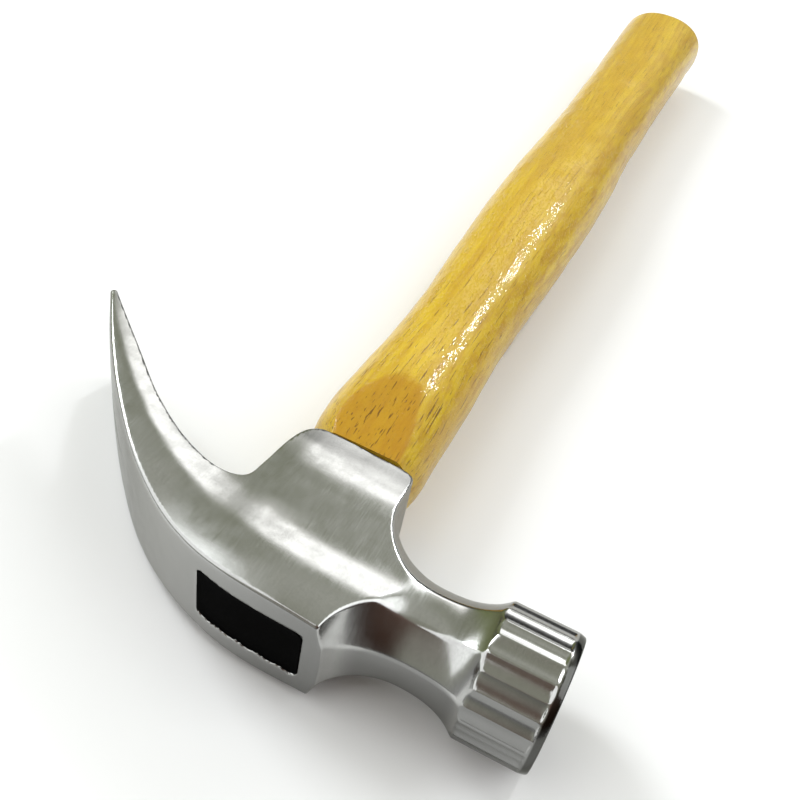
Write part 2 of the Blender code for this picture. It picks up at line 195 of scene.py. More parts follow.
HALF_WIDTHS += [(6, 13.0), (14, 12.5), (22, 12.5), (32, 13.4), (46, 14.2), (58, 14.5), (68, 14.55)]
HALF_WIDTHS += [(90, 14.58)]
# Slope of the cheek as it draws in across the ridge: (distance past the ridge, slope)
BODY_SLOPE = [(-12, 0), (-4.5, 0.0), (-1.0, 0.18), (1.5, 0.20), (4.5, 0.08), (8, 0), (16, 0), (20, 0.08)]
BODY_SLOPE += [(24, 0.19), (31, 0.19)]
CLAW_SLOPE = [(-12, 0), (-3.0, 0.0), (-1.0, 0.20), (1.5, 0.26), (3.5, 0.36), (6, 0.45)]
CLAW_FROM, CLAW_TO = 14, 34
# The cheek falls away towards the crown over SHOULDER, by one amount at the body and less at the claws
SHOULDER, BODY_FALL, CLAW_LESS = 7.0, 0.60, 0.35
GROUND_WAVE = 0.02
CROWN_DROP, HALF_THICK = 0.28, 13.0
CHEEK_EDGE, UNDER_EDGE, SKIRT_EDGE = 0.75, 0.35, 0.25

POLL_X, POLL_RADIUS, POLL_BACK_Y = 15.0, 14.0, -37.0
FACE_BEVEL = (1.5, 0.5)
FLUTES, FLUTE_PHASE, FLUTE_DEPTH = 24, math.radians(4.7), 0.4
WAIST_Y, WAIST = -30.5, 9.8
TO_BODY, TO_POLL, POLL_CURVE = (12.0, 15.8), (10.0, 15.0), 2.4  # the neck's rise and length each way
FACETED, ROUNDED, FACET_EDGE = 0.7, 0.3, 0.5
# The eye as (middle y, size y, size z) at the crown and at the skirt
EYE_TOP, EYE_FOOT, EYE_DEPTH, EYE_CORNER = (-0.45, 24.1, 14.6), (-2.1, 20.2, 16.6), 43.8, 1.4
SLOT_VERTEX, SLOT_TURN, SLOT_ROOT, SLOT_FLARE = (24.5, 46.5), math.radians(39), 0.4, 0.165


def neck_curve():
    """The neck's profile, as (distance from the axis across a flat, y), from the body to the poll."""
    share = np.sin(np.linspace(0, math.pi / 2, 40))
    rise, length = TO_BODY
    body = [(WAIST + rise * (1 - math.sqrt(1 - s * s)), WAIST_Y + length * s) for s in share]
    rise, length = TO_POLL
    curve = [(1 - s**POLL_CURVE) ** (1 / POLL_CURVE) for s in share]
    poll = [(WAIST + rise * (1 - c), WAIST_Y - length * s) for s, c in zip(share, curve)]
    ends = [(60.0, body[-1][1])], [(60.0, poll[-1][1])]
    return np.array(ends[0] + body[::-1] + poll[1:] + ends[1])


top_field = Field(spline(TOP), BOX_XY)
under_field = Field(spline(UNDER), BOX_XY)
ridge_field = Field(spline(RIDGE), BOX_XY)
neck_field = Field(neck_curve(), ((-2.0, -62.0), (40.0, 76.0)))
width_curve = spline(HALF_WIDTHS, 40)


def line_distance(x, y, ends):
    """Signed distance from a straight line, positive on its left."""
    (ax, ay), (bx, by) = ends
    length = math.hypot(bx - ax, by - ay)
    return ((bx - ax) * (y - ay) - (by - ay) * (x - ax)) / length


def cheek(x, y):
    """Half width of the head at a point of its side: flat by the top edge, a soft ridge, then drawn in."""
    depth = -top_field(x, y)
    past = -ridge_field(x, y)
    width = np.interp(y, width_curve[:, 0], width_curve[:, 1])
    claw = smoothstep(CLAW_FROM, CLAW_TO, y)
    drop = (1 - claw) * ramp_integral(past, BODY_SLOPE) + claw * ramp_integral(past, CLAW_SLOPE)
    shoulder = np.maximum(1 - depth / SHOULDER, 0) ** 2 * (BODY_FALL - CLAW_LESS * claw)
    waves = GROUND_WAVE * np.sin(0.55 * x + 0.31 * y + 1.0) * np.sin(0.23 * y - 0.41 * x)
    return width - drop - shoulder + waves


def eye_section(x):
    """(middle y, size y, size z) of the eye at this depth below the crown."""
    share = x / EYE_DEPTH
    return [a + (b - a) * share for a, b in zip(EYE_TOP, EYE_FOOT)]


def head_solid(x, y, z):
    """Below zero inside the head. x and y may be planes that z is broadcast against."""
    up = np.abs(z)
    top = top_field(x, y) + CROWN_DROP * (up / HALF_THICK) ** 4
    side = meet(top, up - cheek(x, y), CHEEK_EDGE)
    rim = UNDER_EDGE + SKIRT_EDGE * smoothstep(36, 42, x) * (1 - smoothstep(14, 20, y))
    body = meet(side, soft_max(under_field(x, y), line_distance(x, y, CLAW_END), 0.4), rim)

    across = np.abs(x - POLL_X)
    diagonal = (across + up) * math.sqrt(0.5)
    octagon = soft_max(soft_max(across, up, FACET_EDGE), diagonal, FACET_EDGE)
    flats = FACETED * octagon + ROUNDED * np.hypot(across, up)
    body = soft_max(body, neck_field(flats, y), 0.45)

    radius = np.hypot(across, up)
    angle = np.arctan2(up, x - POLL_X) - FLUTE_PHASE
    wave = np.abs(np.sin(angle * FLUTES / 2))
    fade = smoothstep(FACE_Y + 1.5, FACE_Y + 2.3, y)
    fluted = POLL_RADIUS - 0.04 - FLUTE_DEPTH * wave**0.8 * fade
    bevel = (radius - POLL_RADIUS) * 0.949 + (FACE_Y + FACE_BEVEL[0] - y) * 0.316
    poll = soft_max(radius - fluted, soft_max(bevel, FACE_Y - y, 0.3), 0.25)
    body = soft_max(body, np.minimum(POLL_BACK_Y - y, poll), 0.35)

    middle, size_y, size_z = eye_section(x)
    ragged = 0.16 * np.sin(2.3 * y + 1.0) * np.sin(3.7 * y)
    ragged = ragged + 0.13 * np.sin(4.9 * y + 0.6) + 0.12 * np.sin(1.3 * y)
    ragged = (ragged + 0.24) * (z < 0) * (1 - smoothstep(1.5, 3.0, x))
    in_y = np.abs(y - middle) - size_y / 2 + EYE_CORNER
    in_z = up - size_z / 2 + EYE_CORNER + ragged
    hole = np.hypot(np.maximum(in_y, 0), np.maximum(in_z, 0)) + np.minimum(np.maximum(in_y, in_z), 0)
    body = meet(body, EYE_CORNER - hole, 0.3)

    dx, dy = x - SLOT_VERTEX[0], y - SLOT_VERTEX[1]
    along = dx * math.cos(SLOT_TURN) + dy * math.sin(SLOT_TURN)
    slot = (SLOT_ROOT + SLOT_FLARE * along - up) / math.hypot(1, SLOT_FLARE)
    return meet(body, slot, 0.4)


def gradient(solid, points, reach=0.04):
    """The field's slope at the points, from steps of this reach to both sides."""
    parts = []
    for axis in range(3):
        step = np.zeros(3)
        step[axis] = reach
        ahead, behind = points + step, points - step
        parts.append((solid(*ahead.T) - solid(*behind.T)) / (2 * reach))
    return np.stack(parts, 1)


def unit(vectors):
    return vectors / np.maximum(np.linalg.norm(vectors, axis=1, keepdims=True), 1e-9)


STEADY = 0.015  # how firmly a vertex is held at the middle of its crossings, where the surface is flat


def contour(solid, box, step):
    """Dual contouring: quads on the surface of the field, with vertices pulled onto its edges."""
    axes = [np.arange(a, b + step, step) for a, b in box]
    x, y, z = axes
    values = solid(x[:, None, None], y[None, :, None], z[None, None, :])
    inside = values < 0
    shape = tuple(n - 1 for n in values.shape)
    origin = np.array([a[0] for a in axes])
    crossings = []
    for axis in range(3):
        first = [slice(None)] * 3
        second = [slice(None)] * 3
        first[axis], second[axis] = slice(0, -1), slice(1, None)
        cross = inside[tuple(first)] != inside[tuple(second)]
        index = np.argwhere(cross)
        v0 = values[tuple(first)][cross]
        v1 = values[tuple(second)][cross]
        point = origin + index * step
        point[:, axis] += step * v0 / (v0 - v1)
        normal = unit(gradient(solid, point))
        crossings.append((axis, index, inside[tuple(first)][cross], point, normal))
    flat = []
    for axis, index, _, point, normal in crossings:
        for around in ((0, 0), (0, 1), (1, 0), (1, 1)):
            cell = index.copy()
            cell[:, [a for a in range(3) if a != axis]] -= around
            flat.append((np.ravel_multi_index(cell.T, shape), point, normal))
    cells = np.concatenate([f[0] for f in flat])
    point = np.concatenate([f[1] for f in flat])
    normal = np.concatenate([f[2] for f in flat])
    active, where = np.unique(cells, return_inverse=True)
    n = len(active)

    def gather(weights):
        return np.bincount(where, weights, n)

    count = np.bincount(where, minlength=n)
    mass = np.stack([gather(point[:, k]) for k in range(3)], 1) / count[:, None]
    right = (normal * (point - mass[where])).sum(1)
    matrix = np.empty((n, 3, 3))
    for i in range(3):
        for j in range(3):
            matrix[:, i, j] = gather(normal[:, i] * normal[:, j])
    matrix += np.eye(3) * STEADY * count[:, None, None]
    vector = np.stack([gather(normal[:, k] * right) for k in range(3)], 1)
    move = np.linalg.solve(matrix, vector[..., None])[..., 0]
    verts = mass + np.clip(move, -0.8 * step, 0.8 * step)
    number = np.full(int(np.prod(shape)), -1)
    number[active] = np.arange(n)
    quads = []
    for axis, index, starts_inside, _, _ in crossings:
        a, b = [(1, 2), (2, 0), (0, 1)][axis]
        corners = []
        for da, db in ((1, 1), (0, 1), (0, 0), (1, 0)):
            cell = index.copy()
            cell[:, a] -= da
            cell[:, b] -= db
            corners.append(number[np.ravel_multi_index(cell.T, shape)])
        quad = np.stack(corners, 1)
        quad[~starts_inside] = quad[~starts_inside][:, ::-1]
        quads.append(quad)
    return verts, np.concatenate(quads)


def settle(solid, verts, step):
    """Moves the vertices down the field's slope, onto its surface."""
    for _ in range(2):
        slope = gradient(solid, verts)
        steep = np.maximum((slope**2).sum(1), 0.2)
        move = (solid(*verts.T) / steep)[:, None] * slope
        verts = verts - np.clip(move, -0.3 * step, 0.3 * step)
    return verts


def make_mesh(name, verts, faces, normals=None):
    """A mesh object from points in the head frame, in millimetres."""
    mesh = bpy.data.meshes.new(name)
    mesh.from_pydata((verts * MM + np.array(EYE)).tolist(), [], faces)
    mesh.polygons.foreach_set("use_smooth", [True] * len(mesh.polygons))
    if normals is not None:
        mesh.normals_split_custom_set_from_vertices(normals.tolist())
    made = bpy.data.objects.new(name, mesh)
    bpy.context.scene.collection.objects.link(made)
    return made


HEAD_STEP = 0.42
HEAD_REACH_Z = HEAD_STEP * math.ceil(15.2 / HEAD_STEP)
head_box = ((-2.2, 53.0), (-59.5, 69.5), (-HEAD_REACH_Z - HEAD_STEP / 2, HEAD_REACH_Z))
head_verts, head_faces = contour(head_solid, head_box, HEAD_STEP)
head_verts = settle(head_solid, head_verts, HEAD_STEP)
head_normals = unit(gradient(head_solid, head_verts, 0.06))
head = make_mesh("head_forging", head_verts, head_faces.tolist(), head_normals)


# ---------------------------------------------------------------- the handle
# The grip's sections: (x, middle y, half size across, half size up)
STATIONS = [(44.1, -1.9, 11.9, 12.0), (48, -1.1, 13.4, 12.1), (56, -0.6, 13.9, 12.2), (64, -0.7, 13.8, 12.0)]
STATIONS += [(74, -0.85, 13.6, 11.6), (86, -1.0, 13.1, 11.2), (98, -0.9, 12.85, 11.0)]
STATIONS += [(110, -0.8, 13.05, 11.0), (122, -0.75, 13.6, 11.2), (135, -0.65, 14.2, 11.5)]
STATIONS += [(150, -0.6, 14.7, 11.9), (165, -0.55, 15.0, 12.2), (180, -0.6, 14.95, 12.2)]
STATIONS += [(193, -0.6, 14.7, 12.0), (206, -0.4, 14.2, 11.6), (220, -0.25, 13.85, 11.2)]
STATIONS += [(235, -0.2, 13.9, 11.1), (252, 0, 13.95, 11.2), (268, 0.1, 14.2, 11.3), (284, 0.3, 14.7, 11.5)]
STATIONS += [(300, 0.4, 15.0, 11.7), (309, 0.4, 15.2, 11.8), (315, 0.4, 15.2, 11.8)]
SIDES = 144
OVAL_POWER = 2.3
BUTT_ROUND = 3.5
# The flat on each side by the head, as (x, height) where it starts and where it runs out
FLAT_START, FLAT_END = (44.0, 9.9), (66.0, 12.0)
FLAT_SLOPE = (FLAT_END[1] - FLAT_START[1]) / (FLAT_END[0] - FLAT_START[0])
SHOULDER_X = 43.78
CLEARANCE = 0.3  # between the tang and the eye
SPLIT_Y = 5.4  # the steel wedges sit this far either side of the middle


def oval(share, half_y, half_z, power):
    """(y, z) round a superellipse, squarer as the power grows."""
    angle = 2 * math.pi * share
    across, up = np.cos(angle), np.sin(angle)
    return (
        half_y * np.sign(across) * np.abs(across) ** (2 / power),
        half_z * np.sign(up) * np.abs(up) ** (2 / power),
    )


def grip():
    """Rings of the grip, from the shoulder under the skirt to the middle of the butt."""
    along = np.concatenate([np.arange(SHOULDER_X, 72, 0.6), np.arange(72, BUTT_X - BUTT_ROUND, 1.5)])
    turn = np.linspace(0, math.pi / 2, 9)
    along = np.concatenate([along, BUTT_X - BUTT_ROUND + BUTT_ROUND * np.sin(turn)])
    inset = np.concatenate([np.zeros(len(along) - len(turn)), BUTT_ROUND * (1 - np.cos(turn))])
    middle, half_y, half_z = smooth_values(STATIONS, along)
    share = np.arange(SIDES) / SIDES
    rings = []
    for x, m, a, b, less in zip(along, middle, half_y, half_z, inset):
        y, z = oval(share, a - less, b - less, OVAL_POWER)
        flat = FLAT_START[1] + FLAT_SLOPE * (x - FLAT_START[0])
        z = np.sign(z) * -soft_max(-np.abs(z), -np.full(SIDES, flat), 0.5)
        ease = 1 - smoothstep(BUTT_X - 12, BUTT_X - BUTT_ROUND, x)
        swell = 0.05 * ease * np.sin(0.21 * x + 3 * math.tau * share)
        swell = swell + 0.035 * ease * np.sin(0.47 * x - 5 * math.tau * share)
        y, z = y * (1 + swell / a), z * (1 + swell / b)
        rings.append(np.stack([np.full(SIDES, x), m + y, z], 1))
    edge = rings[-1]
    centre = edge.mean(0)
    return rings + [centre + (edge - centre) * shrink for shrink in (0.75, 0.5, 0.25)]


def loft(rings):
    """(points, faces) of rings joined one to the next and closed at both ends."""
    sides = len(rings[0])
    faces = []
    for k in range(len(rings) - 1):
        for i in range(sides):
            j = (i + 1) % sides
            faces.append((k * sides + i, k * sides + j, (k + 1) * sides + j, (k + 1) * sides + i))
    faces.append(tuple(range(sides))[::-1])
    faces.append(tuple((len(rings) - 1) * sides + i for i in range(sides)))
    return np.vstack(rings), faces


def tapered_box(first, second):
    """(points, faces) of a block between two ends, each (x, middle y, size y, size z)."""
    points = []
    for x, y, size_y, size_z in (first, second):
        points += [(x, y + a * size_y / 2, b * size_z / 2) for a, b in ((-1, -1), (1, -1), (1, 1), (-1, 1))]
    faces = [(3, 2, 1, 0), (4, 5, 6, 7), (0, 1, 5, 4), (1, 2, 6, 5), (2, 3, 7, 6), (3, 0, 4, 7)]
    return np.array(points, float), faces


def cut(target, tools):
    """Takes the tools away from the target, and leaves a plain mesh."""
    for tool in tools:
        modifier = target.modifiers.new("cut", "BOOLEAN")
        modifier.operation, modifier.solver, modifier.object = "DIFFERENCE", "EXACT", tool
    bpy.context.view_layer.update()
    graph = bpy.context.evaluated_depsgraph_get()
    mesh = bpy.data.meshes.new_from_object(target.evaluated_get(graph))
    target.modifiers.clear()
    target.data = mesh
    for tool in tools:
        bpy.data.objects.remove(tool)


def tang():
    """The part of the handle inside the eye, sawn for the wooden wedge and split by the steel ones."""
    share = np.arange(48) / 48
    rings = []
    for x in (1.55, 8.0, 24.0, 43.0, 47.0):
        middle, size_y, size_z = eye_section(x)
        y, z = oval(share, size_y / 2 - CLEARANCE, size_z / 2 - CLEARANCE, 9.0)
        tilt = 0.1 * y if x < 2 else 0 * y
        rings.append(np.stack([x + tilt, middle + y, z], 1))
    points, faces = loft(rings)
    made = make_mesh("tang", points, faces)
    tools = [make_mesh("kerf", *tapered_box((-20, 0, 60, 6.6), (26, 0, 60, 1.0)))]
    for y in (-SPLIT_Y, SPLIT_Y):
        tools.append(make_mesh("split", *tapered_box((-5, y, 3.4, 11.6), (12.3, y, 1.1, 11.6))))
    cut(made, tools)
    return made


def join(name, objects):
    """One object from several, keeping their points."""
    points, faces = [], []
    for item in objects:
        first = len(points)
        points += [v.co.copy() for v in item.data.vertices]
        faces += [tuple(first + i for i in p.vertices) for p in item.data.polygons]
        bpy.data.objects.remove(item)
    mesh = bpy.data.meshes.new(name)
    mesh.from_pydata(points, [], faces)
    made = bpy.data.objects.new(name, mesh)
    bpy.context.scene.collection.objects.link(made)
    mesh.shade_smooth()
    mesh.set_sharp_from_angle(angle=math.radians(40))
    return made


handle = join("handle_wood", [make_mesh("grip", *loft(grip())), tang()])


# ---------------------------------------------------------------- the black filling in the eye
# Rings of the filling from its rim to its middle: (share of the eye, depth below the crown)
SEAL_RINGS = [(1.0, 0.9), (1.0, 0.25), (0.985, 0.22), (0.93, 0.42), (0.8, 0.5), (0.5, 0.52), (0.2, 0.5)]
SEAL_RINGS += [(0.05, 0.5)]
SEAL_GAP = 0.12


def seal_rings():
    share = np.arange(192) / 192
    middle, size_y, size_z = eye_section(0.0)
    crown = spline(TOP)
    rings = []
    for scale, sink in SEAL_RINGS:
        y, z = oval(share, size_y / 2 - SEAL_GAP, size_z / 2 - SEAL_GAP, 10.0)
        y, z = middle + y * scale, z * scale
        x = np.interp(y, crown[:, 1], crown[:, 0]) + sink
        rings.append(np.stack([x, y, z], 1))
    return rings


seal = make_mesh("eye_resin", *loft(seal_rings()))


# ---------------------------------------------------------------- materials
class Nodes:
    """A material's node tree, built one call at a time. Coordinates are in millimetres."""

    def __init__(self, name):
        self.material = bpy.data.materials.new(name)
        self.material.use_nodes = True
        self.tree = self.material.node_tree
        self.shader = self.tree.nodes["Principled BSDF"]
        place = self.tree.nodes.new("ShaderNodeTexCoord").outputs["Object"]
        self.place = self.math("MULTIPLY", place, (1 / MM,) * 3, vector=True)

    def link(self, source, target):
        if isinstance(source, bpy.types.NodeSocket):
            self.tree.links.new(source, target)
        else:
            target.default_value = source

    def math(self, operation, a, b=None, vector=False):
        node = self.tree.nodes.new("ShaderNodeVectorMath" if vector else "ShaderNodeMath")
        node.operation = operation
        self.link(a, node.inputs[0])
        if b is not None:
            self.link(b, node.inputs[1])
        return node.outputs[0]

    def stretch(self, scale, vector=None):
        return self.math("MULTIPLY", vector or self.place, scale, vector=True)

    def split(self):
        node = self.tree.nodes.new("ShaderNodeSeparateXYZ")
        self.link(self.place, node.inputs[0])
        return node

    def facing(self, direction):
        """1 where the surface looks along this direction, 0 where it looks across it."""
        node = self.tree.nodes.new("ShaderNodeVectorMath")
        node.operation = "DOT_PRODUCT"
        self.link(self.tree.nodes.new("ShaderNodeNewGeometry").outputs["Normal"], node.inputs[0])
        node.inputs[1].default_value = direction
        return node.outputs["Value"]

    def noise(self, scale, detail=3.0, roughness=0.5, vector=None, warp=0.0):
        node = self.tree.nodes.new("ShaderNodeTexNoise")
        self.link(self.stretch(scale, vector), node.inputs["Vector"])
        node.inputs["Scale"].default_value = 1.0
        node.inputs["Detail"].default_value = detail
        node.inputs["Roughness"].default_value = roughness
        node.inputs["Distortion"].default_value = warp
        return node.outputs["Fac"]

    def ramp(self, value, low, high, low_value=0.0, high_value=1.0):
        node = self.tree.nodes.new("ShaderNodeMapRange")
        node.interpolation_type = "SMOOTHSTEP"
        self.link(value, node.inputs["Value"])
        for end, number, result in (("Min", low, low_value), ("Max", high, high_value)):
            node.inputs["From " + end].default_value = number
            node.inputs["To " + end].default_value = result
        return node.outputs[0]

    def mix(self, share, a, b):
        node = self.tree.nodes.new("ShaderNodeMix")
        node.data_type = "RGBA"
        self.link(share, node.inputs["Factor"])
        self.link(a if isinstance(a, bpy.types.NodeSocket) else (*a, 1.0), node.inputs["A"])
        self.link(b if isinstance(b, bpy.types.NodeSocket) else (*b, 1.0), node.inputs["B"])
        return node.outputs["Result"]

    def bump(self, height, strength, distance, normal=None):
        node = self.tree.nodes.new("ShaderNodeBump")
        node.inputs["Strength"].default_value = strength
        node.inputs["Distance"].default_value = distance * MM
        self.link(height, node.inputs["Height"])
        if normal is not None:
            self.link(normal, node.inputs["Normal"])
        return node.outputs["Normal"]

    def set(self, **values):
        for name, value in values.items():
            self.link(value, self.shader.inputs[name.replace("_", " ")])
        return self.material


HEAD_X, HEAD_Y, HEAD_Z = EYE / MM  # the head frame's origin, as the materials see it


def steel_material():
    """Ground and clear-coated steel: brush lines, cloudy patches, fine grit and a few bright scratches, with
    a painted reflection on the crown, darker towards the poll and lighter towards the claws.
    """
    n = Nodes("satin_steel")
    patch = n.noise((0.30, 0.30, 0.30), 4, 0.6)
    lines = n.noise((0.22, 6.0, 0.30), 3, 0.6)
    fine = n.noise((2.2, 2.2, 2.2), 3, 0.6)
    scratch = n.ramp(n.noise((0.30, 5.0, 0.30), 2, 0.6, warp=0.4), 0.68, 0.75)
    tone = n.mix(n.ramp(patch, 0.35, 0.65), (0.47, 0.47, 0.46), (0.44, 0.44, 0.43))
    tone = n.mix(n.ramp(lines, 0.35, 0.75, 0.0, 0.22), tone, (0.58, 0.58, 0.57))
    tone = n.mix(n.ramp(fine, 0.40, 0.70, 0.0, 0.20), tone, (0.34, 0.34, 0.33))
    tone = n.mix(n.math("MULTIPLY", scratch, 0.22), tone, (0.66, 0.66, 0.65))
    y = n.split().outputs["Y"]
    # Painted reflection: faces looking towards -X (the crown) get a tone from dark towards the poll to light
    # towards the claws. It stands in for the shaded and lit floor they mirror.
    crown_painted_reflection = n.mix(n.ramp(y, HEAD_Y - 20, HEAD_Y + 50), (0.23, 0.23, 0.225), (0.72, 0.72, 0.71))
    painted_reflection_on_crown = n.ramp(n.facing((-1.0, 0.0, 0.0)), 0.72, 0.92, 0.0, 0.9)
    tone = n.mix(painted_reflection_on_crown, tone, crown_painted_reflection)
    ring = n.ramp(y, HEAD_Y + FACE_Y + 1.7, HEAD_Y + FACE_Y + 1.3)
    tone = n.mix(ring, tone, (0.09, 0.09, 0.085))
    rough = n.math("ADD", n.ramp(patch, 0.35, 0.65, 0.165, 0.215), n.ramp(lines, 0.3, 0.7, 0.0, 0.05))
    rough = n.math("MULTIPLY", rough, n.ramp(y, HEAD_Y - 36, HEAD_Y - 20, 0.75, 1.0))
    normal = n.bump(lines, 0.10, 0.02)
    normal = n.bump(fine, 0.09, 0.02, normal)
    normal = n.bump(n.noise((0.16, 0.16, 0.16), 2), 0.10, 0.25, normal)
    edge_tint = (0.6, 0.6, 0.58, 1.0)
    return n.set(Base_Color=tone, Metallic=1.0, Roughness=rough, Normal=normal, Specular_Tint=edge_tint)


def wood_material():
    """Yellow lacquer over grain, fibres and pores, darker on the flats, with grit in the clear coat, and
    darker flecks gathered on the face side as painted shade.
    """
    n = Nodes("lacquered_wood")
    sway = n.noise((0.008, 0.03, 0.03), 1)
    shift = n.math("MULTIPLY", sway, (0.0, 9.0, 9.0), vector=True)
    bent = n.math("ADD", n.place, shift, vector=True)
    bands = n.noise((0.006, 0.22, 0.30), 4, 0.55, vector=bent)
    grain = n.noise((0.03, 1.3, 1.3), 4, 0.6, vector=bent)
    fibre = n.noise((0.10, 5.0, 5.0), 3, 0.6, vector=bent)
    dashes = n.noise((0.11, 2.6, 2.6), 2, 0.5, vector=bent)
    pores = n.ramp(dashes, 0.615, 0.68)
    mottle = n.noise((0.035, 0.10, 0.10), 3)
    flecks = n.noise((0.13, 0.42, 0.42), 4, 0.65)
    colour = n.mix(n.ramp(bands, 0.35, 0.68), (0.66, 0.450, 0.022), (0.56, 0.345, 0.016))
    colour = n.mix(n.ramp(grain, 0.42, 0.72, 0.0, 0.5), colour, (0.42, 0.225, 0.014))
    colour = n.mix(n.ramp(fibre, 0.5, 0.8, 0.0, 0.3), colour, (0.72, 0.51, 0.04))
    colour = n.mix(n.ramp(mottle, 0.45, 0.75, 0.0, 0.35), colour, (0.46, 0.28, 0.02))
    # Partly painted shade: the flecks are random dark tone in the wood, but weighting them towards the face
    # side (-Y) darkens that side of the handle as if it lay in shade.
    face_side_painted_shade = n.ramp(n.split().outputs["Y"], HEAD_Y - 2, HEAD_Y - 14, 0.2, 0.6)
    colour = n.mix(n.math("MULTIPLY", n.ramp(flecks, 0.42, 0.62), face_side_painted_shade), colour, (0.44, 0.225, 0.02))
    x, z = (n.split().outputs[axis] for axis in "XZ")
    at_origin = FLAT_START[1] - FLAT_SLOPE * (FLAT_START[0] + HEAD_X)
    level = n.math("ADD", n.math("MULTIPLY", x, FLAT_SLOPE), at_origin)
    height = n.math("ABSOLUTE", n.math("SUBTRACT", z, HEAD_Z))
    on_flat = n.ramp(n.math("SUBTRACT", height, level), -0.45, -0.15)
    near_head = n.ramp(x, HEAD_X + 70, HEAD_X + 64)
    stain = n.math("MULTIPLY", n.math("MULTIPLY", on_flat, near_head), 0.6)
    colour = n.mix(stain, colour, (0.40, 0.17, 0.010))
    pores = n.math("MULTIPLY", pores, n.ramp(x, HEAD_X + 60, HEAD_X + 150, 0.85, 0.4))
    colour = n.mix(pores, colour, (0.13, 0.055, 0.008))
    lumps = n.noise((0.40, 1.0, 1.0), 2)
    grit = n.ramp(n.noise((1.2, 1.9, 1.9), 1), 0.50, 0.66)
    relief = n.bump(n.math("SUBTRACT", grain, n.math("MULTIPLY", pores, 0.6)), 0.15, 0.12)
    grit = n.math("MULTIPLY", grit, n.ramp(stain, 0.0, 0.6, 1.0, 2.5))
    lacquer = n.bump(lumps, 1.0, 0.14, n.bump(grit, 1.0, 0.22))
    return n.set(
        Base_Color=colour,
        Roughness=n.ramp(grain, 0.3, 0.7, 0.38, 0.5),
        Normal=relief,
        Specular_IOR_Level=0.1,
        Coat_Weight=0.65,
        Coat_IOR=1.4,
        Coat_Roughness=0.05,
        Coat_Normal=lacquer,
    )


def raw_wood_material():
    n = Nodes("raw_wood")
    grain = n.noise((0.05, 1.6, 1.6), 4, 0.6)
    colour = n.mix(n.ramp(grain, 0.35, 0.7), (0.62, 0.45, 0.26), (0.42, 0.27, 0.13))
    return n.set(Base_Color=colour, Roughness=0.8, Normal=n.bump(grain, 0.3, 0.1))


def wedge_steel_material():
    n = Nodes("wedge_steel")
    scale = n.noise((0.5, 0.5, 0.5), 5, 0.7)
    colour = n.mix(n.ramp(scale, 0.4, 0.7), (0.42, 0.42, 0.43), (0.25, 0.2, 0.17))
    rough = n.ramp(scale, 0.3, 0.7, 0.4, 0.6)
    return n.set(Base_Color=colour, Metallic=1.0, Roughness=rough, Normal=n.bump(scale, 0.2, 0.1))


def resin_material():
    n = Nodes("black_resin")
    grit = n.noise((2.2, 2.2, 2.2), 4, 0.7)
    colour = n.mix(n.ramp(grit, 0.45, 0.8), (0.0010, 0.0010, 0.0010), (0.004, 0.004, 0.004))
    rough = n.ramp(grit, 0.3, 0.7, 0.7, 0.9)
    return n.set(Base_Color=colour, Roughness=rough, Normal=n.bump(grit, 0.4, 0.15), Specular_IOR_Level=0.02)


def floor_material():
    n = Nodes("pale_floor")
    cloud = n.noise((0.004, 0.004, 0.004), 2)
    colour = n.mix(n.ramp(cloud, 0.3, 0.7), (0.90, 0.90, 0.90), (0.88, 0.88, 0.88))
    return n.set(Base_Color=colour, Roughness=0.6, Specular_IOR_Level=0.3)


finishes = {
    "satin_steel": steel_material(),
    "lacquered_wood": wood_material(),
    "raw_wood": raw_wood_material(),
    "wedge_steel": wedge_steel_material(),
    "black_resin": resin_material(),
}
for piece, node, finish in (
    (head, "head", "satin_steel"),
    (handle, "handle", "lacquered_wood"),
    (seal, "eye_seal", "black_resin"),
):
    piece.data.materials.append(finishes[finish])
    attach(piece, "root")
    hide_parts(node)
for node, finish in (
    ("wood_wedge", "raw_wood"),
    ("steel_wedge_poll", "wedge_steel"),
    ("steel_wedge_claw", "wedge_steel"),
):
    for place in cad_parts[node].material_slots:
        place.material = finishes[finish]


# ---------------------------------------------------------------- floor, light and camera
FLOOR_REACH = 1.0


def plain_floor():
    mesh = bpy.data.meshes.new("floor")
    corners = [(a * FLOOR_REACH, b * FLOOR_REACH, FLOOR_Z) for a, b in ((-1, -1), (1, -1), (1, 1), (-1, 1))]
    mesh.from_pydata(corners, [], [(0, 1, 2, 3)])
    mesh.materials.append(floor_material())
    floor = bpy.data.objects.new("floor", mesh)
    bpy.context.scene.collection.objects.link(floor)


MIDDLE = EYE + Vector((0.09, 0, 0))
LIGHT_COLOUR = (0.94, 0.97, 1.0)


def soft_light(name, toward, distance, size, power):
    """An area light that looks at the middle of the hammer from a direction, in metres and watts."""
    light = bpy.data.lights.new(name, "AREA")
    light.shape = "RECTANGLE"
    light.size, light.size_y = size
    light.energy = power
    light.color = LIGHT_COLOUR
    made = bpy.data.objects.new(name, light)
    direction = Vector(toward).normalized()
    made.location = MIDDLE + direction * distance
    made.rotation_euler = direction.to_track_quat("Z", "Y").to_euler()
    bpy.context.scene.collection.objects.link(made)


RAMP_TOP = 5.0
SKY_STRENGTH = 0.75
BACKDROP = 0.98  # how bright the camera sees the room beyond the floor


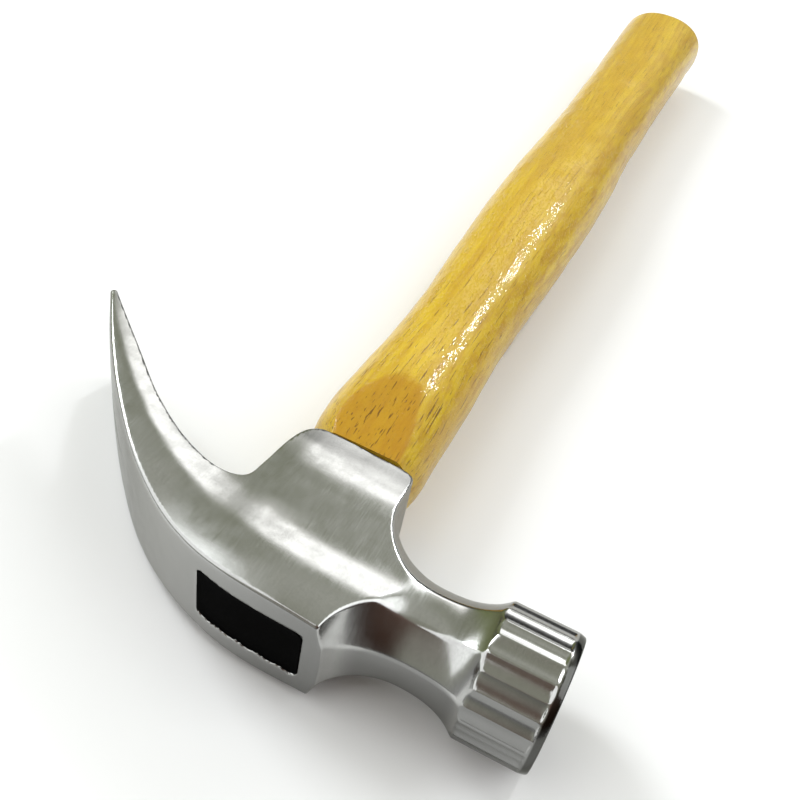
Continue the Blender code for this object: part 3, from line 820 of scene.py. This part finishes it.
def sky():
    """A studio's soft surroundings: an olive ceiling, a bright window ahead and a dim brown room behind."""
    world = bpy.data.worlds.new("studio")
    world.use_nodes = True
    bpy.context.scene.world = world
    tree = world.node_tree
    background = tree.nodes["Background"]
    place = tree.nodes.new("ShaderNodeTexCoord").outputs["Generated"]
    split = tree.nodes.new("ShaderNodeSeparateXYZ")
    tree.links.new(place, split.inputs[0])
    forward, side, height = (split.outputs[axis] for axis in "XYZ")
    plain = [(0.0, (0.05, 0.05, 0.05)), (0.20, (0.08, 0.08, 0.08)), (0.32, (0.25, 0.25, 0.25))]
    plain += [(0.50, (0.7, 0.7, 0.68)), (0.72, (0.52, 0.54, 0.43)), (0.79, (0.52, 0.54, 0.43))]
    plain += [(0.87, (0.78, 0.79, 0.70)), (1.0, (0.52, 0.53, 0.43))]
    green = [(0.0, (0.06, 0.06, 0.06)), (0.12, (0.30, 0.33, 0.16)), (0.40, (0.37, 0.42, 0.20))]
    green += [(0.65, (0.46, 0.48, 0.36)), (1.0, (0.46, 0.47, 0.38))]
    brown = [(0.0, (0.4, 0.4, 0.4)), (0.10, (0.25, 0.24, 0.23)), (0.28, (0.06, 0.03, 0.02))]
    brown += [(0.55, (0.12, 0.07, 0.05)), (0.82, (0.27, 0.17, 0.14)), (1.0, (0.50, 0.50, 0.41))]
    grey = [(0.0, (0.5, 0.5, 0.5)), (0.30, (0.55, 0.56, 0.48)), (0.55, (0.50, 0.48, 0.42))]
    grey += [(0.80, (0.25, 0.20, 0.16)), (1.0, (0.50, 0.50, 0.41))]
    plain, green, brown, grey = (sky_ramp(tree, height, stops) for stops in (plain, green, brown, grey))
    ahead = blend(tree, step_of(tree, side, 0.30, 0.45), plain, green)
    behind = blend(tree, step_of(tree, side, -0.28, 0.14), brown, grey)
    around = blend(tree, step_of(tree, forward, 0.15, -0.15), ahead, behind)
    window = step_of(tree, forward, 0.3, 0.5)
    edges = (height, 0.44, 0.54), (height, 0.71, 0.65), (side, -0.42, -0.28), (side, 0.36, 0.26)
    for value, first, last in edges:
        both = tree.nodes.new("ShaderNodeMath")
        both.operation = "MULTIPLY"
        tree.links.new(window, both.inputs[0])
        tree.links.new(step_of(tree, value, first, last), both.inputs[1])
        window = both.outputs[0]
    around = blend(tree, window, around, (0.72, 0.72, 0.71))
    seen = tree.nodes.new("ShaderNodeLightPath").outputs["Is Camera Ray"]
    backdrop = (BACKDROP / (RAMP_TOP * SKY_STRENGTH),) * 3
    tree.links.new(blend(tree, seen, around, backdrop), background.inputs["Color"])
    background.inputs["Strength"].default_value = RAMP_TOP * SKY_STRENGTH


def step_of(tree, value, first, last):
    """0 to 1 as the value goes smoothly from the first number to the last."""
    node = tree.nodes.new("ShaderNodeMapRange")
    node.interpolation_type = "SMOOTHSTEP"
    tree.links.new(value, node.inputs["Value"])
    node.inputs["From Min"].default_value = min(first, last)
    node.inputs["From Max"].default_value = max(first, last)
    if first > last:
        node.inputs["To Min"].default_value, node.inputs["To Max"].default_value = 1.0, 0.0
    return node.outputs[0]


def blend(tree, share, a, b):
    node = tree.nodes.new("ShaderNodeMix")
    node.data_type = "RGBA"
    tree.links.new(share, node.inputs["Factor"])
    for colour, name in ((a, "A"), (b, "B")):
        if isinstance(colour, tuple):
            node.inputs[name].default_value = (*colour, 1.0)
        else:
            tree.links.new(colour, node.inputs[name])
    return node.outputs["Result"]


def sky_ramp(tree, value, stops):
    """Colour by height in the sky. The ramp holds colours up to 1, so they are kept as shares of RAMP_TOP."""
    ramp = tree.nodes.new("ShaderNodeValToRGB")
    ramp.color_ramp.interpolation = "EASE"
    tree.links.new(value, ramp.inputs[0])
    elements = ramp.color_ramp.elements
    shares = [(position, (*(c / RAMP_TOP for c in colour), 1.0)) for position, colour in stops]
    for element, (position, colour) in ((elements[1], shares[-1]), (elements[0], shares[0])):
        element.position, element.color = position, colour
    for position, colour in shares[1:-1]:
        elements.new(position).color = colour
    return ramp.outputs[0]


# Where the camera stands and the point it looks at, in the head frame
CAMERA_AT, CAMERA_AIM = Vector((-90.73, -48.24, 164.47)), Vector((70.26, 0.95, 0.0))
CAMERA_ROLL = math.radians(12.42)


def photo_camera():
    """The photograph's view: from above the crown, down and across the hammer."""
    camera = bpy.data.cameras.new("camera")
    camera.lens, camera.sensor_width, camera.sensor_fit = 45.0, 36.0, "HORIZONTAL"
    camera.clip_start = 0.01
    made = bpy.data.objects.new("camera", camera)
    look = (CAMERA_AIM - CAMERA_AT).to_track_quat("-Z", "Y").to_matrix().to_4x4()
    made.matrix_world = Matrix.Translation(EYE + CAMERA_AT * MM) @ look @ Matrix.Rotation(CAMERA_ROLL, 4, "Z")
    bpy.context.scene.collection.objects.link(made)
    bpy.context.scene.camera = made


plain_floor()
sky()
soft_light("from_front", (-0.35, 0.85, 1.0), 2.5, (2.8, 2.8), 34)
soft_light("from_claw_side", (0.3, 0.9, 0.8), 2.5, (0.75, 0.75), 26)
soft_light("gleam", (0.77, -0.17, 0.61), 1.2, (0.06, 0.15), 2.6)
soft_light("from_face_side", (0.2, -0.9, 0.9), 2.5, (2.2, 2.2), 30)
photo_camera()
bpy.context.scene.view_settings.view_transform = "Standard"
